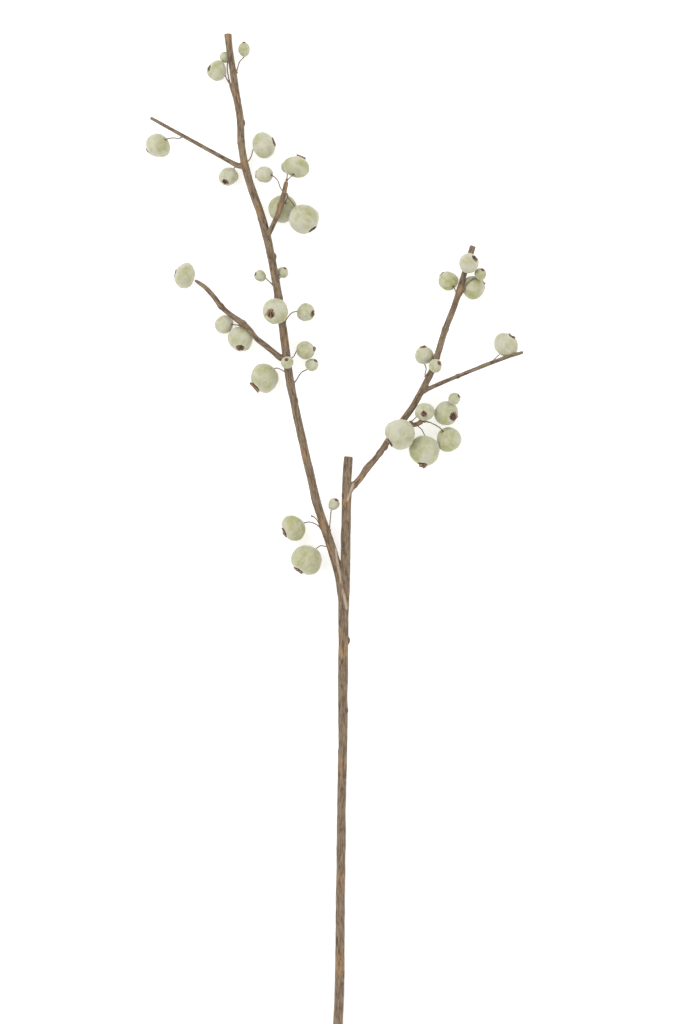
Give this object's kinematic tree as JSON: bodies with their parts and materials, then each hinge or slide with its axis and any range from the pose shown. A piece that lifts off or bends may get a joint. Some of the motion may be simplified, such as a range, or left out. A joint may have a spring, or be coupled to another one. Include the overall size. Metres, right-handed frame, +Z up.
{
  "type": "apple sprig",
  "caption": "Cut leafless branch bearing small pale green crab apples on thin stalks, for display or decoration, lying on a surface.",
  "frame": {"origin": "middle of the sprig's bounding box, on the surface that it lies on", "axes": "+Z up from the surface; +Y along the stem from the cut butt to the tips; +X across the sprig, to the side of the right branch"},
  "size_m": [0.3022, 0.8174, 0.0405],
  "materials": {
    "bark": "matte grey-brown bark with lengthwise streaks and old bud scars",
    "apple_skin": "pale green fruit skin under a chalky white bloom, with a dry dark brown eye",
    "stalk": "thin dry grey-brown fruit stalks"
  },
  "bodies": {
    "root": {"branch": "bark", "apple_01": "apple_skin", "apple_02": "apple_skin", "apple_03": "apple_skin", "apple_04": "apple_skin", "apple_05": "apple_skin", "apple_06": "apple_skin", "apple_07": "apple_skin", "apple_08": "apple_skin", "apple_09": "apple_skin", "apple_10": "apple_skin", "apple_11": "apple_skin", "apple_12": "apple_skin", "apple_13": "apple_skin", "apple_14": "apple_skin", "apple_15": "apple_skin", "apple_16": "apple_skin", "apple_17": "apple_skin", "apple_18": "apple_skin", "apple_19": "apple_skin", "apple_20": "apple_skin", "apple_21": "apple_skin", "apple_22": "apple_skin", "apple_23": "apple_skin", "apple_24": "apple_skin", "apple_25": "apple_skin", "apple_26": "apple_skin", "apple_27": "apple_skin", "apple_28": "apple_skin", "apple_29": "apple_skin", "apple_30": "apple_skin", "apple_31": "apple_skin", "apple_32": "apple_skin", "apple_33": "apple_skin", "apple_34": "apple_skin", "apple_35": "apple_skin", "apple_36": "apple_skin", "apple_37": "apple_skin", "apple_38": "apple_skin", "stalks_01_02": "stalk", "stalk_03": "stalk", "stalk_04": "stalk", "stalks_05_06": "stalk", "stalks_07_10_11": "stalk", "stalks_08_09": "stalk", "stalks_13_14": "stalk", "stalks_15_16": "stalk", "stalks_17_18": "stalk", "stalks_19_21": "stalk", "stalk_20": "stalk", "stalk_22": "stalk", "stalk_23": "stalk", "stalk_24": "stalk", "stalk_25": "stalk", "stalks_26_28_29": "stalk", "stalk_27": "stalk", "stalks_30_31": "stalk", "stalk_32": "stalk", "stalks_33_34": "stalk", "stalks_35_36_37_38": "stalk"}
  },
  "joints": []
}
